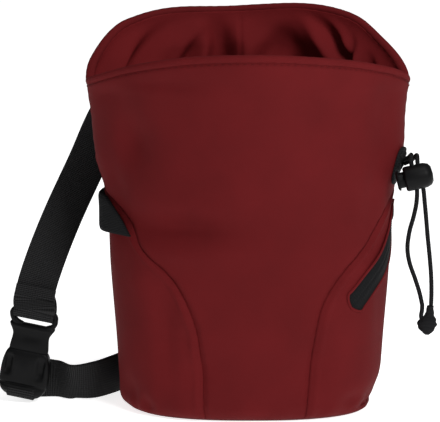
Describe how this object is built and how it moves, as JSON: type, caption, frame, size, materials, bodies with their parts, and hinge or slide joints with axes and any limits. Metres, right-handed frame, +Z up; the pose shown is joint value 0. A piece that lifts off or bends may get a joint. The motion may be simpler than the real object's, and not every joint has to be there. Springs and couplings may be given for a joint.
{
  "type": "climbing chalk bag",
  "caption": "Upright sewn chalk bag with a rolled rim, gathered collar, zipped side pocket, brush loop, webbing belt with a side release buckle, and a drawcord with a cord lock.",
  "frame": {"origin": "the middle of the base panel's underside, on the surface that the bag stands on", "axes": "+X to the right as seen from the front, +Y to the back where the belt loop is, +Z up; -Z is the direction that the base rests in"},
  "size_m": [0.2196, 0.1148, 0.1981],
  "materials": {
    "shell_fabric": "fine plain woven polyester, deep red, matt with a faint sheen",
    "collar_fabric": "thin plain woven lining of the same deep red, matt, gathered",
    "zip_fabric": "black woven zip tape with a moulded coil",
    "elastic_band": "black ribbed elastic band",
    "webbing": "black nylon webbing, 20 mm wide, fine cross ribs",
    "black_plastic": "moulded black acetal, satin",
    "cord_cover": "black braided polyester cord"
  },
  "bodies": {
    "bag": {"front_panel": "shell_fabric", "back_panel": "shell_fabric", "right_side_panel": "shell_fabric", "left_side_panel": "shell_fabric", "base_panel": "shell_fabric", "rim_binding": "shell_fabric", "inner_collar": "collar_fabric", "zip_tape": "zip_fabric", "zip_slider": "black_plastic", "brush_loop": "elastic_band", "belt_loop": "webbing", "belt_webbing": "webbing", "buckle_insert": "black_plastic", "buckle_socket": "black_plastic", "cord_eyelet": "black_plastic", "cord_lock_barrel": "black_plastic", "drawcord_near_strand": "cord_cover", "drawcord_far_strand": "cord_cover", "cord_knot": "cord_cover"},
    "plunger": {"cord_lock_plunger": "black_plastic"}
  },
  "joints": [
    {"name": "plunger_press", "type": "slide", "parent": "bag", "child": "plunger", "axis": [0.9744, 0, 0.225], "range_m": [0, 0.0022], "stiffness_N_per_m": 1200, "springref_m": -0.001}
  ]
}
